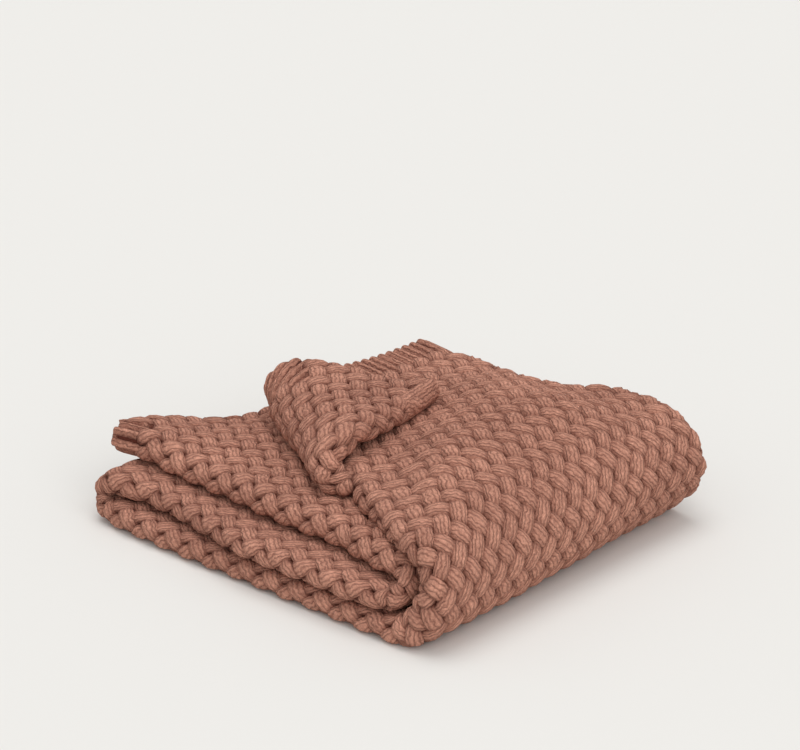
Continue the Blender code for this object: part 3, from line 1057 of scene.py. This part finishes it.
for row in range(ROWS):
    for column in range(COLUMNS):
        a = COLUMN_PHASE + (column + 0.5 * (row % 2)) * STEP_ALONG
        b = ROW_PHASE + row * STEP_ACROSS / 2
        if a < PATTERN_TOP:
            choose(region(a, b), a, b, row)
        elif b > TOP_ROWS_FROM:
            choose(top_region(a, b), a, b, row)
        elif b < SEEN_FROM_BEHIND and a < PATTERN_TOP + TOP_REACH - BORDER:
            choose(("back_strands", underneath), a, b, row)
for row in FLAP_ROWS:
    for column in FLAP_COLUMNS:
        a = (column + 0.5 * (row % 2)) * STEP_ALONG
        b = row * STEP_ACROSS / 2
        choose(flap_region(a, b), a, b, row)
print({name: len(pillows) for name, pillows in pieces.items()})

# %% Laying the pillows
SLANT = math.radians(37)
UNEVEN_SLANT = 4  # degrees to either side
PLUMPNESS = (0.9, 1.08)
TINT = (0.9, 1.06)
PRESSED = 0.65  # how much a strand is flattened between two slabs
PRESSED_FROM = 3.5  # how far from the pack's middle that begins
SELVEDGE = 1.0  # strands turn back this far inside the cloth's own edge
chance = random.Random(11)


def pressed(name, along, across):
    """How thick a strand stays where slabs touch behind their front bends, and under the corner."""
    if name == "turned_corner_strands":
        return 1 - PRESSED * ramp(across, FRONT_BEND + BEND / 2, GOING_BACK)
    leg = leg_at(ALONG, along)[0]
    if name == "back_strands" and across < BACK_BEND / 2:
        return 1.0 if leg.name == "third slab" else 1 - PRESSED / 2
    if name != "lower_strands":
        return 1.0
    off = fold_in_four(across, 0)[1]
    if leg.to_slab == TOP or leg.name == "third slab" and off > 0:
        return 1.0
    return 1 - PRESSED * ramp(abs(off), PRESSED_FROM, 3 * QUARTER)


def lay_pillows(name, pillows):
    """One piece of the throw: all its pillows, copied, turned and laid onto the cloth."""
    mesh = bmesh.new()
    for _ in pillows:
        mesh.from_mesh(pillow_mesh)
    corners = iter(mesh.verts)
    shade = mesh.verts.layers.float["shade"]
    for a, b, leaning, on_cloth in pillows:
        turn = SLANT + math.radians(chance.uniform(-UNEVEN_SLANT, UNEVEN_SLANT))
        cos, sin = math.cos(turn), math.sin(turn) * leaning
        plump = chance.uniform(*PLUMPNESS)
        tint = chance.uniform(*TINT)
        for s, t, height, light in pillow_shape:
            along, across = on_cloth(a + s * cos - t * sin, b + s * sin + t * cos)
            across = max(across, SELVEDGE)
            vertex = next(corners)
            vertex.co = fold(along, across, height * plump * pressed(name, along, across))
            # Painted shade towards the rim, times the strand's own random tint
            vertex[shade] = light * tint
    return finished(mesh, name, strand_wool)


strands = [lay_pillows(name, pillows) for name, pillows in pieces.items()]

# %% [markdown]
# ## The ribbed borders
# Each end of the panel has a border of ribs, one stitch column up and one down, so it is thick and
# springy and the same on both sides. It is a fine grid across the whole width, whose two faces rise
# and fall together, rounded at its edge where the knitting was cast off. At the tip of the turned
# corner, where the plait covers them, the ribs are calmer and the border is padded out.

# %% Ribs
RIB = 9.6  # width of a rib and its furrow
RIB_CELL = 1.2
RIB_HALF = 1.35  # half the thickness of the border
RIB_SWING = 2.3  # how far it rises and falls
SQUARENESS = 0.6  # below 1, the ribs are fuller than a sine
EDGE_ROUND = 1.6  # the edge is rounded over this length,
EDGE_THIN = 0.02  # but never quite closed
EDGE_SWING, EDGE_SPAN = 0.55, 7  # the ribs' swing at the edge, and how far in it is full
THINNER, THIN_SPAN = 0.45, (BORDER - 6, BORDER + 3)  # under the plait the border is thinner,
CALMER, CALM_SPAN = 0.6, (BORDER - 8, BORDER + 3)  # and its ribs are calmer
TIP_SPAN = (95, 125)  # the corner's tip begins over this span beyond the crease
TIP_PADDING = 3.2
TIP_CALMER = 0.8
# Painted shade in the furrows between the ribs
FURROW_SHADE = 0.3
INWARD = [0, 0.5, 1.6, 5, 10, 16, 22, 28, 34, 41]  # stations, from the edge inwards


def rib_border(name, ends):
    """The ribbed border that has these stations along the panel."""
    count = round(WIDTH / RIB_CELL)
    mesh = laid_out(ends, [WIDTH * i / count for i in range(count + 1)])
    map_stitches(mesh)
    shade = mesh.verts.layers.float.new("shade")
    edge = 0.0 if ends[0] == 0 else LENGTH
    for vertex in mesh.verts:
        along, across, face_side = vertex.co
        inward = abs(along - edge)
        wave = math.sin(2 * math.pi * across / RIB)
        wave = math.copysign(abs(wave) ** SQUARENESS, wave)
        rounded = math.sqrt(max(1 - (1 - min(inward / EDGE_ROUND, 1)) ** 2, EDGE_THIN))
        half = RIB_HALF * rounded * (1 - THINNER * ramp(inward, *THIN_SPAN))
        swing = RIB_SWING * (EDGE_SWING + (1 - EDGE_SWING) * ramp(inward, 0, EDGE_SPAN))
        swing *= 1 - CALMER * ramp(inward, *CALM_SPAN)
        tip = 0.0
        if edge and across < GOING_BACK:
            tip = ramp(CREASE_DEPTH - fold_in_four(across, 0)[0], *TIP_SPAN)
        swing *= 1 - TIP_CALMER * tip
        proud = face_side * half + wave * swing + (1 + face_side) / 2 * TIP_PADDING * tip
        # Painted shade: darker in the furrows, the more the ribs swing
        vertex[shade] = 1 - FURROW_SHADE * (1 - face_side * wave) * swing / RIB_SWING
        along += TUCKED * tucked_part(along, across) * (1 if edge else -1)
        vertex.co = fold(along, across, proud)
    return finished(mesh, name, rib_wool)


first_border = rib_border("first_ribbed_border", [inward * FREE_BORDER / BORDER for inward in INWARD])
last_border = rib_border("last_ribbed_border", [LENGTH - inward for inward in reversed(INWARD)])

# %% [markdown]
# ## What the pieces stand for
# The ground cloth and all that is knitted into it stand for the solid, so the imported solid is hidden.

# %% Hiding the imported solid
borders = [first_border, last_border]
for piece in (ground_cloth, *strands, *borders):
    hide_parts("knitted_panel")
